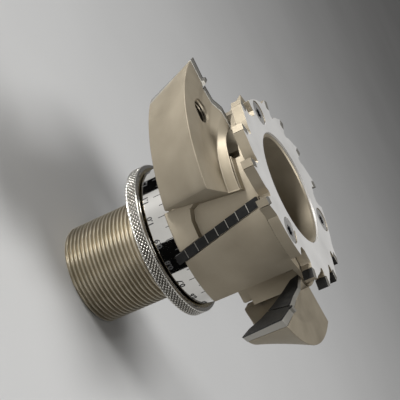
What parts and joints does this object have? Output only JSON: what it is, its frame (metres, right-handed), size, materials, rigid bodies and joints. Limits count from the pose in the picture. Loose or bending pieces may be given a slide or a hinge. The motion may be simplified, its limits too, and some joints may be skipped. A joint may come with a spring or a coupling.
{
  "type": "adjustable shell milling cutter",
  "caption": "Adjustable shell milling cutter with swept wings, helical tile rows and a toothed disc, moved along a threaded sleeve by a knurled graduated ring.",
  "frame": {"origin": "centre of the sleeve's rear end face, on the tool's axis", "axes": "+Z along the tool's axis from the sleeve's rear end to the toothed disc; +X and +Y across it, the first wing's leading edge near -X"},
  "size_m": [0.1305, 0.1289, 0.1],
  "materials": {
    "champagne_nickel": "satin warm nickel plate",
    "polished_chrome": "polished",
    "ground_steel": "ground",
    "dark_diamond": "dark polycrystalline diamond on carbide, matt",
    "black_oxide": "black oxide",
    "spring_steel": "plain"
  },
  "bodies": {
    "sleeve": {"threaded_sleeve": "champagne_nickel", "drive_key": "ground_steel", "key_screw_1": "black_oxide", "key_screw_2": "black_oxide"},
    "cutter_head": {"cutter_body": "champagne_nickel", "snap_ring": "spring_steel", "toothed_disc": "ground_steel", "wing_1": "champagne_nickel", "wing_2": "champagne_nickel", "wing_3": "champagne_nickel", "outer_plate_1": "dark_diamond", "outer_plate_2": "dark_diamond", "outer_plate_3": "dark_diamond", "inner_plate_1": "dark_diamond", "inner_plate_2": "dark_diamond", "inner_plate_3": "dark_diamond", "tile_1_1": "dark_diamond", "tile_1_2": "dark_diamond", "tile_1_3": "dark_diamond", "tile_1_4": "dark_diamond", "tile_1_5": "dark_diamond", "tile_1_6": "dark_diamond", "tile_1_7": "dark_diamond", "tile_1_8": "dark_diamond", "tile_2_1": "dark_diamond", "tile_2_2": "dark_diamond", "tile_2_3": "dark_diamond", "tile_2_4": "dark_diamond", "tile_2_5": "dark_diamond", "tile_2_6": "dark_diamond", "tile_2_7": "dark_diamond", "tile_2_8": "dark_diamond", "tile_3_1": "dark_diamond", "tile_3_2": "dark_diamond", "tile_3_3": "dark_diamond", "tile_3_4": "dark_diamond", "tile_3_5": "dark_diamond", "tile_3_6": "dark_diamond", "tile_3_7": "dark_diamond", "tile_3_8": "dark_diamond", "disc_tip_1_1": "dark_diamond", "disc_tip_1_2": "dark_diamond", "disc_tip_1_3": "dark_diamond", "disc_tip_1_4": "dark_diamond", "disc_tip_2_1": "dark_diamond", "disc_tip_2_2": "dark_diamond", "disc_tip_2_3": "dark_diamond", "disc_tip_2_4": "dark_diamond", "disc_tip_3_1": "dark_diamond", "disc_tip_3_2": "dark_diamond", "disc_tip_3_3": "dark_diamond", "disc_tip_3_4": "dark_diamond", "disc_screw_1": "ground_steel", "disc_screw_2": "ground_steel", "disc_screw_3": "ground_steel"},
    "adjusting_ring": {"knurled_ring": "polished_chrome", "graduated_ring": "polished_chrome", "set_screw_1": "black_oxide", "set_screw_2": "black_oxide"}
  },
  "joints": [
    {"name": "head_slide", "type": "slide", "parent": "sleeve", "child": "cutter_head", "axis": [0, 0, 1], "range_m": [-0.01, 0.002]},
    {"name": "ring_turn", "type": "hinge", "parent": "cutter_head", "child": "adjusting_ring", "pos_m": [0, 0, 0.042], "axis": [0, 0, 1], "range_deg": [-1800, 360]}
  ],
  "couplings": [
    {"joint": "head_slide", "follows": "ring_turn", "m_per_rad": 0.0003183}
  ]
}
